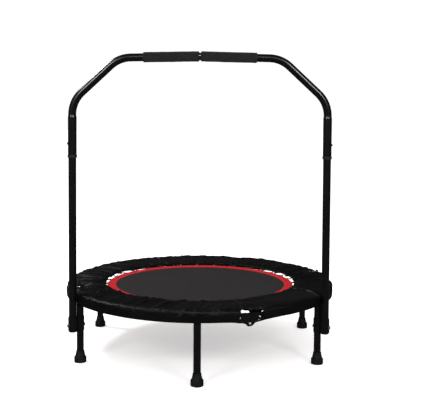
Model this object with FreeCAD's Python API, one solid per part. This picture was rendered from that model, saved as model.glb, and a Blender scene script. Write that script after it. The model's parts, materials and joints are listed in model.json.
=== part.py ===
import FreeCAD, Part

import math
import os

from FreeCAD import Vector

# Folding mini trampoline with a U-shaped handlebar. Millimetres.
# +Z is up, the origin is on the floor under the middle of the ring, -Y is the handlebar side,
# and +X is to the right of someone who faces +Y.

# Frame ring
RING_R = 499.0              # centreline radius
RING_Z = 227.0              # centreline height
TUBE_R = 12.7               # outer radius of ring and leg tubes
WALL = 1.5
ARC_GAP = 0.25              # from an arc's end to the plane of its hinge
HINGE_ANGLES = {"front": -70.0, "right": 20.0, "rear": 110.0, "left": 200.0}
FOLD_ANGLE = HINGE_ANGLES["right"]

# Legs and feet
LEG_ANGLES = {
    "front": -90.0, "front_right": -30.0, "front_left": 210.0,
    "rear": 90.0, "rear_right": 30.0, "rear_left": 150.0,
}
LEG_BOTTOM_Z = 7.0
LEG_TOP_Z = 206.0
FOOT_HEIGHT = 43.0
FOOT_R = 22.0
FOOT_BASE_HEIGHT = 20.5     # straight-sided part of a foot
FOOT_WAIST_R = 18.7
FOOT_TOP_R = 14.8
STUD_R = 5.0

# Bed
MAT_Z = 242.0               # middle of the mat's thickness
MAT_THICK = 1.4
MAT_R = 361.5
EDGE_INNER_R = 330.0
EDGE_OUTER_R = 364.0
EDGE_THICK = 4.0
FOLD_GAP = 0.4              # half the gap between the front and rear halves of the bed

# Springs
SPRINGS = 32
SPRING_R = 6.5
SPRING_WIRE_R = 1.3
SPRING_START_R = 388.0
SPRING_END_R = 470.0
SPRING_HOOK_R = 378.5
SPRING_DROP = 5.0           # fall from the mat's edge to the hole in the frame tube
HOLE_R = 2.5
RING_WIRE_R = 1.5

# Pad
PAD_INNER_R = 370.0
PAD_OUTER_R = 518.0
PAD_TOP_Z = 256.0
PAD_UNDER_Z = 250.0
PAD_OVER_TUBE_Z = 240.4
SKIRT_BOTTOM_Z = 221.0
SKIRT_THICK = 4.5

# Hinges
PLATE = 2.5
EAR_REACH = 42.0            # from the hinge's plane to an ear's far end
EAR_HALF_HEIGHT = 9.0
PIN_R = 3.0
HOLE_CLEARANCE = 0.06
RIVET_PLACE = 37.0          # from the hinge's plane
RIVET_R = 2.0
FOLD_PIN_Z = 257.5
FOLD_EAR_R = 6.5            # round end at a fold pin
LOW_PIN_Z = 206.0
LOW_EAR_R = 8.0
EAR_CLEARANCE = 0.4

# Handlebar
POST_OFFSET = 28.5          # from a leg's centre out to its post's centre
POST_R = 14.0
POST_BOTTOM_Z = 117.5
POST_TOP_Z = 850.0
POST_BOLT_Z = 138.0
BRACKET_HEIGHT = 50.0
SOCKET_CLEARANCE = 0.08
SOCKET_BOTTOM_Z = 751.0
SOCKET_TOP_Z = 892.0
NECK_LENGTH = 8.0
BAR_TUBE_R = 14.3
BAR_Z = 1111.0              # centreline at the middle of the bar
SHOULDER_Z = 1105.0
SHOULDER_X = 289.0
CORNER_Z = 949.0
BEND_R = 108.0
JOINT_GAP = 1.6             # between the two halves at the middle of the bar
BUTTON_Z = 798.0
BUTTON_R = 3.9
BUTTON_PROUD = 3.4
HEIGHT_STEP = 35.0          # from one button hole to the next
GRIP_R = 18.5
GRIP_LENGTH = 200.0
GRIP_START = 3.3
CONNECTOR_LENGTH = 70.0

UP = Vector(0, 0, 1)
FOLD_AXIS = Vector(math.cos(math.radians(FOLD_ANGLE)), math.sin(math.radians(FOLD_ANGLE)), 0)
REARWARD = Vector(-FOLD_AXIS.y, FOLD_AXIS.x, 0)


def polar(radius, angle, z=0.0):
    return Vector(radius * math.cos(math.radians(angle)), radius * math.sin(math.radians(angle)), z)


def rod(start, end, radius):
    """A solid cylinder between two points."""
    line = end.sub(start)
    return Part.makeCylinder(radius, line.Length, start, line)


def pipe(start, end, outer, inner):
    return rod(start, end, outer).cut(rod(start, end, inner))


def turned(profile, first_angle=0.0, last_angle=360.0):
    """Turns an outline of (radius, height) points about the vertical axis."""
    points = [Vector(r, 0, z) for r, z in profile]
    face = Part.Face(Part.makePolygon(points + points[:1]))
    face.rotate(Vector(0, 0, 0), UP, first_angle)
    return face.revolve(Vector(0, 0, 0), UP, last_angle - first_angle)


def joined(shapes):
    result = shapes[0].multiFuse(shapes[1:]).removeSplitter()
    return result.Solids[0]


def mirrored_x(shape):
    return shape.mirror(Vector(0, 0, 0), Vector(1, 0, 0))


def save(node, *shapes):
    """Writes one node from one or more separate solids."""
    solids = [solid for shape in shapes for solid in shape.Solids]
    body = solids[0] if len(solids) == 1 else Part.makeCompound(solids)
    body.exportStep("parts/%s.step" % node)


def arc_tube(first_angle, last_angle, outer, inner=0.0):
    """A stretch of the ring's tube between two angles."""
    start = polar(RING_R, first_angle, RING_Z)
    along = polar(1, first_angle + 90)
    face = Part.Face(Part.Wire(Part.makeCircle(outer, start, along)))
    if inner:
        face = face.cut(Part.Face(Part.Wire(Part.makeCircle(inner, start, along))))
    return face.revolve(Vector(0, 0, 0), UP, last_angle - first_angle).Solids[0]


RING_CORE = arc_tube(0, 360, TUBE_R)


def spring_angles(side):
    """Angles of the springs in the front or the rear half, evenly spaced between the hinges."""
    step = 360.0 / SPRINGS
    first = FOLD_ANGLE + step / 2 - (180.0 if side == "front" else 0.0)
    return [first + step * n for n in range(SPRINGS // 2)]


def spring_slope():
    return SPRING_DROP / (SPRING_END_R - SPRING_HOOK_R)


def spring_point(radius, angle):
    """A point on a spring's axis, which falls from the mat to the ring tube."""
    return polar(radius, angle, MAT_Z - (radius - SPRING_HOOK_R) * spring_slope())


def half_disc(side, radius, low_z, high_z):
    """The front or rear half of a disc, cut back from the fold line."""
    first = FOLD_ANGLE if side == "rear" else FOLD_ANGLE - 180.0
    shape = turned([(0, low_z), (radius, low_z), (radius, high_z), (0, high_z)], first, first + 180)
    return shape.cut(fold_strip(FOLD_GAP))


def fold_strip(half_width):
    """A slab along the fold line, for cutting the two halves apart."""
    slab = Part.makeBox(1200, 2 * half_width, 600, Vector(-600, -half_width, 0))
    slab.rotate(Vector(0, 0, 0), UP, FOLD_ANGLE)
    return slab


# ---- frame ring ----

def frame_arc(first_angle, last_angle):
    """One hollow arc with the holes that its springs hook into."""
    half_gap = math.degrees(ARC_GAP / RING_R)
    shape = arc_tube(first_angle + half_gap, last_angle - half_gap, TUBE_R, TUBE_R - WALL)
    for angle in spring_angles("front") + spring_angles("rear"):
        turn = (angle - first_angle) % 360
        if turn < last_angle - first_angle:
            outside = spring_point(RING_R - TUBE_R - 6, angle)
            inside = spring_point(RING_R - 4, angle)
            shape = shape.cut(rod(outside, inside, HOLE_R))
    return shape


def leg_centre(name, z):
    return polar(RING_R, LEG_ANGLES[name], z)


def stud_hole(shape, names):
    """Opens the saddles' stud holes into the tube above them."""
    for name in names:
        shape = shape.cut(rod(leg_centre(name, RING_Z - TUBE_R - 2), leg_centre(name, RING_Z), STUD_R + 0.5))
    return shape


def leg_saddle(name):
    """A threaded block under the ring, hollowed on top to the tube."""
    shape = rod(leg_centre(name, LEG_TOP_Z + 2.2), leg_centre(name, RING_Z), TUBE_R)
    shape = shape.cut(RING_CORE)
    shape = max(shape.Solids, key=lambda solid: -solid.CenterOfMass.z)
    return shape.cut(rod(leg_centre(name, LEG_TOP_Z), leg_centre(name, RING_Z), STUD_R + HOLE_CLEARANCE))


def leg_stud(name):
    """A stud with a flange that closes the leg's top and a plug pressed inside the leg."""
    plug = rod(leg_centre(name, LEG_TOP_Z - 22), leg_centre(name, LEG_TOP_Z), TUBE_R - WALL - 0.05)
    flange = rod(leg_centre(name, LEG_TOP_Z), leg_centre(name, LEG_TOP_Z + 2), TUBE_R)
    thread = rod(leg_centre(name, LEG_TOP_Z), leg_centre(name, RING_Z - 4), STUD_R)
    return joined([plug, flange, thread])


def leg(name):
    shape = pipe(leg_centre(name, LEG_BOTTOM_Z), leg_centre(name, LEG_TOP_Z), TUBE_R, TUBE_R - WALL)
    if name in ("front_left", "front_right"):
        shape = shape.cut(bolt_shank(name, PIN_R + 0.1))
    return shape


def foot(name):
    """A flared rubber foot with a blind bore for the leg and a flat base."""
    inner = TUBE_R + 0.05
    outline = [
        (0, 0), (FOOT_R - 2.0, 0), (FOOT_R - 0.5, 0.6), (FOOT_R, 2.2), (FOOT_R, FOOT_BASE_HEIGHT - 1.2),
        (FOOT_R - 1.0, FOOT_BASE_HEIGHT), (FOOT_WAIST_R + 0.4, FOOT_BASE_HEIGHT + 0.2),
        (FOOT_WAIST_R, FOOT_BASE_HEIGHT + 1.5), (FOOT_TOP_R + 0.3, FOOT_HEIGHT - 6),
        (FOOT_TOP_R, FOOT_HEIGHT - 1), (FOOT_TOP_R - 0.8, FOOT_HEIGHT),
        (inner, FOOT_HEIGHT), (inner, LEG_BOTTOM_Z), (0, LEG_BOTTOM_Z),
    ]
    shape = turned(outline)
    shape.translate(leg_centre(name, 0))
    return shape


# ---- hinges ----
# Each hinge is drawn for an angle of zero and then turned to its place.
# There +X is outward, +Y is anticlockwise round the ring, and the tube's centre is at RING_R.

def ear_plate(x, thick, pin_z, side):
    """One flat ear: a bar along the tube that narrows to a round boss at the pin."""
    way = 1 if pin_z > RING_Z else -1
    boss_r = FOLD_EAR_R if pin_z > RING_Z else LOW_EAR_R
    near = side * 0.8
    far = side * EAR_REACH
    low = RING_Z - EAR_HALF_HEIGHT
    high = RING_Z + EAR_HALF_HEIGHT
    bar = [(near, low), (far, low), (far, high), (near, high)]
    web = [
        (0, pin_z + way * boss_r), (side * boss_r, pin_z + way * boss_r),
        (side * 0.72 * EAR_REACH, RING_Z + way * EAR_HALF_HEIGHT),
        (near, RING_Z), (0, pin_z - way * EAR_HALF_HEIGHT),
    ]
    plates = []
    for outline in (bar, web):
        points = [Vector(x, y, z) for y, z in outline]
        face = Part.Face(Part.makePolygon(points + points[:1]))
        plates.append(face.extrude(Vector(thick, 0, 0)))
    plates.append(rod(Vector(x, 0, pin_z), Vector(x + thick, 0, pin_z), boss_r))
    return joined(plates)


def leaf(angle, pin_z, side, outer_pair):
    """Two ears on one arc's end. The outer pair stands clear of the inner one on weld pads."""
    inner_face = TUBE_R - 0.6
    near_x = TUBE_R + PLATE + EAR_CLEARANCE if outer_pair else inner_face
    thick = PLATE if outer_pair else TUBE_R + PLATE - inner_face
    solids = []
    for x in (RING_R + near_x, RING_R - near_x - thick):
        ear = ear_plate(x, thick, pin_z, side)
        if outer_pair:
            inward = inner_face if x > RING_R else -near_x
            pad = Part.makeBox(
                near_x - inner_face, EAR_REACH - 15, 14,
                Vector(RING_R + inward, 15 if side > 0 else -EAR_REACH, RING_Z - 7),
            )
            ear = joined([ear, pad])
        solids.append(ear)
    hole = rod(Vector(RING_R - 30, 0, pin_z), Vector(RING_R + 30, 0, pin_z), PIN_R + HOLE_CLEARANCE)
    result = []
    for ear in solids:
        ear = ear.cut(rivet_hole(side)).cut(hole).cut(RING_CORE)
        result.append(max(ear.Solids, key=lambda solid: solid.Volume))
    shape = Part.makeCompound(result)
    shape.rotate(Vector(0, 0, 0), UP, angle)
    return shape


def rivet_hole(side):
    place = side * RIVET_PLACE
    return rod(Vector(RING_R - 24, place, RING_Z), Vector(RING_R + 24, place, RING_Z), RIVET_R + 0.05)


def rivet(hinge, side, outer_pair):
    """A domed rivet through both ears of a leaf and the tube between them."""
    place = side * RIVET_PLACE
    face = TUBE_R + PLATE + (PLATE + EAR_CLEARANCE if outer_pair else 0)
    ends = [Vector(RING_R + face * way, place, RING_Z) for way in (1, -1)]
    shank = rod(ends[1], ends[0], RIVET_R)
    heads = []
    for end, way in zip(ends, (1, -1)):
        ball = Part.makeSphere(5.2, end.sub(Vector(3.0 * way, 0, 0)))
        start = Vector(end.x if way > 0 else end.x - 6, place - 6, RING_Z - 6)
        heads.append(ball.common(Part.makeBox(6, 12, 12, start)))
    shape = joined([shank] + heads)
    shape.rotate(Vector(0, 0, 0), UP, HINGE_ANGLES[hinge])
    return shape


def hinge_pin(angle, pin_z):
    """A pin with a domed head outside and a washer head inside."""
    reach = TUBE_R + 2 * PLATE + EAR_CLEARANCE + 0.3
    shank = rod(Vector(RING_R - reach - 1, 0, pin_z), Vector(RING_R + reach + 1, 0, pin_z), PIN_R)
    dome = Part.makeSphere(7.5, Vector(RING_R + reach - 5.0, 0, pin_z))
    dome = dome.common(Part.makeBox(8, 16, 16, Vector(RING_R + reach, -8, pin_z - 8)))
    washer = rod(Vector(RING_R - reach - 1.6, 0, pin_z), Vector(RING_R - reach, 0, pin_z), 5.5)
    shape = joined([shank, dome, washer])
    shape.rotate(Vector(0, 0, 0), UP, angle)
    return shape


# ---- bed ----

def mat_edge(side):
    """Webbing folded over the mat's edge: a flat ring with a slot that the mat fills."""
    low = MAT_Z - EDGE_THICK / 2
    high = MAT_Z + EDGE_THICK / 2
    first = FOLD_ANGLE if side == "rear" else FOLD_ANGLE - 180.0
    outline = [(EDGE_INNER_R, low), (EDGE_OUTER_R, low), (EDGE_OUTER_R, high), (EDGE_INNER_R, high)]
    band = turned(outline, first, first + 180)
    half_slot = MAT_THICK / 2 + 0.1
    slot = rod(Vector(0, 0, MAT_Z - half_slot), Vector(0, 0, MAT_Z + half_slot), MAT_R + 0.1)
    return band.cut(slot).cut(fold_strip(FOLD_GAP))


def v_ring(angle):
    """A wire triangle: its long side at the webbing, its point towards the spring."""
    base_r = EDGE_OUTER_R + RING_WIRE_R + 0.4
    tip_r = base_r + 12.0
    half = 9.0
    corners = [Vector(base_r, half, MAT_Z), Vector(base_r, -half, MAT_Z), Vector(tip_r, 0, MAT_Z)]
    wires = [rod(corners[n], corners[(n + 1) % 3], RING_WIRE_R) for n in range(3)]
    knobs = [Part.makeSphere(RING_WIRE_R, corner) for corner in corners]
    shape = joined(wires + knobs)
    shape.rotate(Vector(0, 0, 0), UP, angle)
    return shape


def spring(angle):
    """A close-wound coil as a short pipe, with a straight hook at each end."""
    start = spring_point(SPRING_START_R, angle)
    end = spring_point(SPRING_END_R, angle)
    coil = pipe(start, end, SPRING_R, SPRING_R - 2 * SPRING_WIRE_R)
    caps = [
        rod(start, spring_point(SPRING_START_R + 3, angle), SPRING_R),
        rod(spring_point(SPRING_END_R - 3, angle), end, SPRING_R),
    ]
    near_hook = rod(spring_point(SPRING_HOOK_R + 2.0, angle), start, SPRING_WIRE_R)
    far_hook = rod(end, spring_point(RING_R - TUBE_R + 5.5, angle), SPRING_WIRE_R)
    return joined([coil] + caps + [near_hook, far_hook])


def pad(side):
    """Half of the padded cover: flat over the springs, with a skirt outside the ring."""
    low_edge = PAD_UNDER_Z - 2.5
    outline = [
        (PAD_INNER_R, low_edge), (PAD_INNER_R, 251.5), (PAD_INNER_R + 10, PAD_TOP_Z),
        (PAD_OUTER_R - 9, PAD_TOP_Z), (PAD_OUTER_R, PAD_TOP_Z - 6), (PAD_OUTER_R, SKIRT_BOTTOM_Z),
        (PAD_OUTER_R - SKIRT_THICK, SKIRT_BOTTOM_Z), (PAD_OUTER_R - SKIRT_THICK, PAD_OVER_TUBE_Z),
        (RING_R - 12, PAD_OVER_TUBE_Z), (RING_R - 16, PAD_UNDER_Z), (PAD_INNER_R + 14, PAD_UNDER_Z),
    ]
    first = FOLD_ANGLE if side == "rear" else FOLD_ANGLE - 180.0
    shape = turned(outline, first, first + 180).cut(fold_strip(FOLD_GAP))
    for angle in HINGE_ANGLES.values():
        corner = Vector(RING_R - 24, -EAR_REACH - 4, SKIRT_BOTTOM_Z - 10)
        cut_out = Part.makeBox(60, 2 * EAR_REACH + 8, 60, corner)
        cut_out.rotate(Vector(0, 0, 0), UP, angle)
        shape = shape.cut(cut_out)
    for name in ("front_left", "front_right"):
        shape = shape.cut(rod(post_centre(name, 200), post_centre(name, 280), POST_R + 3.5))
    if side == "rear":
        shape = shape.cut(post_sweep_room())
    return max(shape.Solids, key=lambda solid: solid.Volume)


def post_sweep_room():
    """What the rear half of the pad leaves out, so that it swings up past the two posts."""
    along_left = post_centre("front_left", 0).dot(FOLD_AXIS)
    room = Part.makeBox(60, 70, 60, Vector(along_left + POST_R + 1.5 - 60, 60, SKIRT_BOTTOM_Z - 10))
    room.rotate(Vector(0, 0, 0), UP, FOLD_ANGLE)
    mirror_angle = 2 * FOLD_ANGLE - LEG_ANGLES["front_right"]
    right = polar(RING_R + POST_OFFSET, mirror_angle)
    notch = rod(Vector(right.x, right.y, 200), Vector(right.x, right.y, 280), POST_R + 7)
    return room.fuse(notch)


# ---- handlebar ----

def post_centre(name, z):
    return polar(RING_R + POST_OFFSET, LEG_ANGLES[name], z)


def bolt_shank(name, radius):
    """The straight line of the bolt through bracket, post and leg."""
    outer = polar(RING_R + POST_OFFSET + POST_R + 4, LEG_ANGLES[name], POST_BOLT_Z)
    inner = polar(RING_R - TUBE_R - 8, LEG_ANGLES[name], POST_BOLT_Z)
    return rod(inner, outer, radius)


def post(name, outward):
    """A lower post with the hole for its snap button and for its bolt."""
    shape = pipe(post_centre(name, POST_BOTTOM_Z), post_centre(name, POST_TOP_Z), POST_R, POST_R - WALL)
    centre = post_centre(name, BUTTON_Z)
    shape = shape.cut(rod(centre, centre.add(outward.multiply(20)), BUTTON_R + 0.12))
    return shape.cut(bolt_shank(name, PIN_R + 0.1))


def post_bracket(name):
    """A double collar round the foot of the post and the leg beside it."""
    low = POST_BOTTOM_Z + 1.0
    high = low + BRACKET_HEIGHT
    outer = POST_R + 2.5
    collar = rod(post_centre(name, low), post_centre(name, high), outer)
    saddle = rod(leg_centre(name, low), leg_centre(name, high), TUBE_R + 2.3)
    web = Part.makeBox(POST_OFFSET, 16, BRACKET_HEIGHT, Vector(RING_R, -8, low))
    web.rotate(Vector(0, 0, 0), UP, LEG_ANGLES[name])
    shape = joined([collar, saddle, web])
    shape = shape.cut(rod(post_centre(name, low), post_centre(name, high), POST_R + 0.05))
    shape = shape.cut(rod(leg_centre(name, low), leg_centre(name, high), TUBE_R + 0.05))
    return shape.cut(bolt_shank(name, PIN_R + 0.1))


def post_bolt(name):
    """A bolt with a round head outside, and a thin nut inside."""
    def at(radius):
        return polar(radius, LEG_ANGLES[name], POST_BOLT_Z)
    head_r = RING_R + POST_OFFSET + POST_R + 2.6
    nut_r = RING_R - TUBE_R - 2.4
    head = joined([rod(at(nut_r - 3.4), at(head_r + 2), PIN_R), rod(at(head_r), at(head_r + 3), 6.0)])
    nut = pipe(at(nut_r - 2.6), at(nut_r), 5.5, PIN_R + 0.02)
    return [head, nut]


def post_plug(name):
    cap = rod(post_centre(name, POST_BOTTOM_Z - 3), post_centre(name, POST_BOTTOM_Z), POST_R)
    stem = rod(post_centre(name, POST_BOTTOM_Z), post_centre(name, POST_BOTTOM_Z + 12), POST_R - WALL - 0.05)
    return joined([cap, stem])


def bar_path():
    """Corner points of the right half of the bar, from its socket up and in to the middle."""
    start = post_centre("front_right", SOCKET_TOP_Z + NECK_LENGTH)
    corner = Vector(start.x, start.y, CORNER_Z)
    shoulder = Vector(SHOULDER_X, start.y, SHOULDER_Z)
    return [start, corner, shoulder, Vector(JOINT_GAP / 2, start.y, BAR_Z)]


def bent_tube(points, outer, inner):
    """A hollow tube: straight runs between the points, joined by tangent arcs of BEND_R."""
    pieces = []
    last = points[0]
    for before, corner, after in zip(points, points[1:], points[2:]):
        back = before.sub(corner).normalize()
        ahead = after.sub(corner).normalize()
        half = back.getAngle(ahead) / 2
        start = corner.add(back * (BEND_R / math.tan(half)))
        centre = corner.add((back + ahead).normalize() * (BEND_R / math.sin(half)))
        onward = back * -1
        ring = Part.Face(Part.Wire(Part.makeCircle(outer, start, onward)))
        ring = ring.cut(Part.Face(Part.Wire(Part.makeCircle(inner, start, onward))))
        pieces.append(pipe(last, start, outer, inner))
        bend = ring.revolve(centre, onward.cross(ahead), 180 - 2 * math.degrees(half))
        pieces.append(bend.Solids[0])
        last = corner.add(ahead * (BEND_R / math.tan(half)))
    pieces.append(pipe(last, points[-1], outer, inner))
    return joined(pieces)


def upper_tube():
    """The right half of the bar: expanded socket, short neck, two bends and the top run."""
    points = bar_path()
    bent = bent_tube(points, BAR_TUBE_R, BAR_TUBE_R - WALL)
    socket_inner = POST_R + SOCKET_CLEARANCE
    socket_outer = socket_inner + WALL
    x, y = points[0].x, points[0].y
    top = Vector(x, y, SOCKET_TOP_Z)
    bottom = Vector(x, y, SOCKET_BOTTOM_Z)
    socket = pipe(bottom, top, socket_outer, socket_inner)
    neck = Part.makeCone(socket_outer, BAR_TUBE_R, NECK_LENGTH, top, UP)
    neck = neck.cut(Part.makeCone(socket_inner, BAR_TUBE_R - WALL, NECK_LENGTH, top, UP))
    shape = joined([socket, neck, bent])
    for step in (-1, 0, 1):
        hole_z = BUTTON_Z + step * HEIGHT_STEP
        shape = shape.cut(rod(Vector(x, y, hole_z), Vector(x + 30, y, hole_z), BUTTON_R + 0.12))
    screw = screw_line(0)
    return shape.cut(rod(screw[0], screw[1], 2.6))


def top_way():
    """Direction of the right half's top run, from the middle outward."""
    points = bar_path()
    return points[2].sub(points[3]).normalize()


def screw_line(lift):
    """Where the connector's screw enters from below the bar, and the centre of the bar there."""
    centre = bar_path()[3].add(top_way() * 45)
    below = Vector(centre.x, centre.y, centre.z - BAR_TUBE_R - 3 + lift)
    return below, centre


def connector_screw():
    low, centre = screw_line(3.2)
    shank = rod(low, centre, 2.4)
    thread = rod(low, Vector(low.x, low.y, low.z + 0.6), 2.5)
    return joined([shank, thread])


def bar_connector():
    """The sleeve inside both halves, bent very slightly in the middle as they are."""
    middle = Vector(0, bar_path()[3].y, BAR_Z)
    radius = BAR_TUBE_R - WALL - 0.1
    right = rod(middle, middle.add(top_way() * CONNECTOR_LENGTH), radius)
    shape = joined([right, mirrored_x(right), Part.makeSphere(radius, middle)])
    right_bore = rod(middle, middle.add(top_way() * (CONNECTOR_LENGTH + 1)), radius - 2)
    shape = shape.cut(joined([right_bore, mirrored_x(right_bore), Part.makeSphere(radius - 2, middle)]))
    hole = rod(screw_line(0)[0], screw_line(0)[1], 2.45)
    return shape.cut(hole).cut(mirrored_x(hole))


def grip():
    """A foam sleeve with chamfered ends on the right half's top run."""
    way = top_way()
    start = Vector(0, bar_path()[3].y, BAR_Z).add(way * GRIP_START)
    chamfer = 3.0
    end = start.add(way * GRIP_LENGTH)
    first = Part.makeCone(GRIP_R - chamfer, GRIP_R, chamfer, start, way)
    body = rod(start.add(way * chamfer), end.sub(way * chamfer), GRIP_R)
    last = Part.makeCone(GRIP_R, GRIP_R - chamfer, chamfer, end.sub(way * chamfer), way)
    shape = joined([first, body, last])
    return shape.cut(rod(start.sub(way * 5), end.add(way * 5), BAR_TUBE_R + 0.05))


def socket_bushing():
    """A plastic ring over the socket's mouth, which guides the post."""
    socket_outer = POST_R + SOCKET_CLEARANCE + WALL
    low = post_centre("front_right", SOCKET_BOTTOM_Z - 4)
    seat = post_centre("front_right", SOCKET_BOTTOM_Z)
    top = post_centre("front_right", SOCKET_BOTTOM_Z + 6)
    shape = rod(low, top, socket_outer + 1.3)
    shape = shape.cut(rod(low, seat, POST_R + 0.09))
    return shape.cut(rod(seat, top, socket_outer + 0.02))


def snap_button():
    """A domed button with a flange that stays inside the right post."""
    centre = post_centre("front_right", BUTTON_Z)
    x, y, z = centre.x, centre.y, centre.z
    face = x + POST_R + SOCKET_CLEARANCE + WALL + BUTTON_PROUD
    shank = rod(Vector(x + 10, y, z), Vector(face - 1.4, y, z), BUTTON_R)
    dome = Part.makeCone(BUTTON_R, BUTTON_R - 1.6, 1.4, Vector(face - 1.4, y, z), Vector(1, 0, 0))
    flange = rod(Vector(x + 9, y, z), Vector(x + 10.4, y, z), 5.2)
    return joined([shank, dome, flange])


def button_spring():
    """A leaf spring folded like a hairpin, inside the right post behind the button."""
    centre = post_centre("front_right", BUTTON_Z)
    x, y, z = centre.x, centre.y, centre.z
    top = z + 34
    leaf_a = Part.makeBox(0.8, 8, 42, Vector(x + 8.0, y - 4, z - 8))
    leaf_b = Part.makeBox(0.8, 8, 42, Vector(x - 10.8, y - 4, z - 8))
    bend = pipe(Vector(x - 1.0, y - 4, top), Vector(x - 1.0, y + 4, top), 9.8, 9.0)
    bend = bend.common(Part.makeBox(24, 10, 12, Vector(x - 13, y - 5, top)))
    return joined([leaf_a, leaf_b, bend])


# ---- write every node ----

os.makedirs("parts", exist_ok=True)

ARCS = {
    "front_right": (HINGE_ANGLES["front"], HINGE_ANGLES["right"]),
    "rear_right": (HINGE_ANGLES["right"], HINGE_ANGLES["rear"]),
    "rear_left": (HINGE_ANGLES["rear"], HINGE_ANGLES["left"]),
    "front_left": (HINGE_ANGLES["left"], HINGE_ANGLES["front"] + 360),
}
for name, (first, last) in ARCS.items():
    tube = stud_hole(frame_arc(first, last), LEG_ANGLES)
    for hinge_angle, side in ((first, 1), (last, -1)):
        hole = rivet_hole(side)
        hole.rotate(Vector(0, 0, 0), UP, hinge_angle)
        tube = tube.cut(hole)
    save("frame_arc_" + name, tube)

for name in LEG_ANGLES:
    save("leg_" + name, leg(name))
    save("foot_" + name, foot(name))

for side in ("front", "rear"):
    own_legs = [name for name in LEG_ANGLES if name.startswith(side)]
    save("leg_studs_" + side, *[leg_stud(name) for name in own_legs])
    save("leg_saddles_" + side, *[leg_saddle(name) for name in own_legs])
    save("mat_" + side, half_disc(side, MAT_R, MAT_Z - MAT_THICK / 2, MAT_Z + MAT_THICK / 2))
    save("mat_edge_" + side, mat_edge(side))
    save("v_rings_" + side, *[v_ring(angle) for angle in spring_angles(side)])
    save("springs_" + side, *[spring(angle) for angle in spring_angles(side)])
    save("pad_" + side, pad(side))

# Fold hinges, whose rear leaf stands outside the front one and turns about the pin.
for name, front_side in (("right", -1), ("left", 1)):
    angle = HINGE_ANGLES[name]
    save("%s_hinge_leaf_front" % name, leaf(angle, FOLD_PIN_Z, front_side, False))
    save("%s_hinge_leaf_rear" % name, leaf(angle, FOLD_PIN_Z, -front_side, True))
    save("%s_hinge_pin" % name, hinge_pin(angle, FOLD_PIN_Z))

# Second pair of hinges, which the handlebar holds shut, with their pins under the tube.
for name, right_side in (("front", 1), ("rear", -1)):
    angle = HINGE_ANGLES[name]
    save("%s_hinge_leaf_right" % name, leaf(angle, LOW_PIN_Z, right_side, False))
    save("%s_hinge_leaf_left" % name, leaf(angle, LOW_PIN_Z, -right_side, True))
    save("%s_hinge_pin" % name, hinge_pin(angle, LOW_PIN_Z))

save(
    "hinge_rivets_front",
    rivet("right", -1, False), rivet("left", 1, False), rivet("front", 1, False), rivet("front", -1, True),
)
save(
    "hinge_rivets_rear",
    rivet("right", 1, True), rivet("left", -1, True), rivet("rear", -1, False), rivet("rear", 1, True),
)

save("post_right", post("front_right", Vector(1, 0, 0)))
save("post_left", post("front_left", Vector(-1, 0, 0)))
save("post_bracket_right", post_bracket("front_right"))
save("post_bracket_left", post_bracket("front_left"))
save("post_bolts", *post_bolt("front_right"), *post_bolt("front_left"))
save("post_plugs", post_plug("front_right"), post_plug("front_left"))

right_tube = upper_tube()
save("upper_tube_right", right_tube)
save("upper_tube_left", mirrored_x(right_tube))
save("bar_connector", bar_connector())
save("connector_screws", connector_screw(), mirrored_x(connector_screw()))
save("grip_right", grip())
save("grip_left", mirrored_x(grip()))
save("socket_bushings", socket_bushing(), mirrored_x(socket_bushing()))
save("snap_button_right", snap_button())
save("snap_button_left", mirrored_x(snap_button()))
save("button_springs", button_spring(), mirrored_x(button_spring()))
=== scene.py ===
import json
import math
import random

import bmesh
import bpy
import numpy as np
from mathutils import Matrix, Vector, noise

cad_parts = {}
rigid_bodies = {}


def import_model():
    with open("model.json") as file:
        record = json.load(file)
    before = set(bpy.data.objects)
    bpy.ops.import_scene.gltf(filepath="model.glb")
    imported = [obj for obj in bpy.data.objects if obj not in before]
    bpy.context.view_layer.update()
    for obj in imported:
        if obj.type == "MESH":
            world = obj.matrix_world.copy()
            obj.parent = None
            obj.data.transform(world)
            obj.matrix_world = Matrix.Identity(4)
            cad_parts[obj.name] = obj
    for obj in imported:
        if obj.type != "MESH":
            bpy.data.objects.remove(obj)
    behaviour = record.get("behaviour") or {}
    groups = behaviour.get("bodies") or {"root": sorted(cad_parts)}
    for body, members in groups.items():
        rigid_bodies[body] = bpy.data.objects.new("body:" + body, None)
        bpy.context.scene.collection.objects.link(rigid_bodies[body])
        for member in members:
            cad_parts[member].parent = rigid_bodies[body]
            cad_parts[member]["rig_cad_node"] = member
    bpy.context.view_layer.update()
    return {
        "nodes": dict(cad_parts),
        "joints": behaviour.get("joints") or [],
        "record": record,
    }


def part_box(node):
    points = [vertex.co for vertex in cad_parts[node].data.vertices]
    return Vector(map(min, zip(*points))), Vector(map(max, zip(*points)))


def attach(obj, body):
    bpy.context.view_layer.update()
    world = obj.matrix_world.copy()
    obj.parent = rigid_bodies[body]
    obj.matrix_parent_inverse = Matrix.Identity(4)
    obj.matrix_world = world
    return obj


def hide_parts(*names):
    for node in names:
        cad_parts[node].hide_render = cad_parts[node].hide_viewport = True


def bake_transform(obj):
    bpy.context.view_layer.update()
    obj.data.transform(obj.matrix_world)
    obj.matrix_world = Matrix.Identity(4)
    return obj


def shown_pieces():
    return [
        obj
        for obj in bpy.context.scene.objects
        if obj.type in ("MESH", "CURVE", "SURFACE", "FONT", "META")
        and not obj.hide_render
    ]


# Looks of the folding mini trampoline with a U-shaped handlebar. Metres, in the frame of the packed
# model: +Z up, -Y towards the handlebar side, origin on the floor under the middle of the ring.

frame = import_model()

JOINTS = {joint["name"]: joint for joint in frame["joints"]}
FOLD = JOINTS["rear_fold"]
FOLD_AXIS = Vector(FOLD["axis"])
FOLD_ANGLE = math.atan2(FOLD_AXIS.y, FOLD_AXIS.x)
REARWARD = Vector((-FOLD_AXIS.y, FOLD_AXIS.x, 0.0))


def polar(radius, angle, z):
    return Vector((radius * math.cos(angle), radius * math.sin(angle), z))


# ---- materials ----

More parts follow.
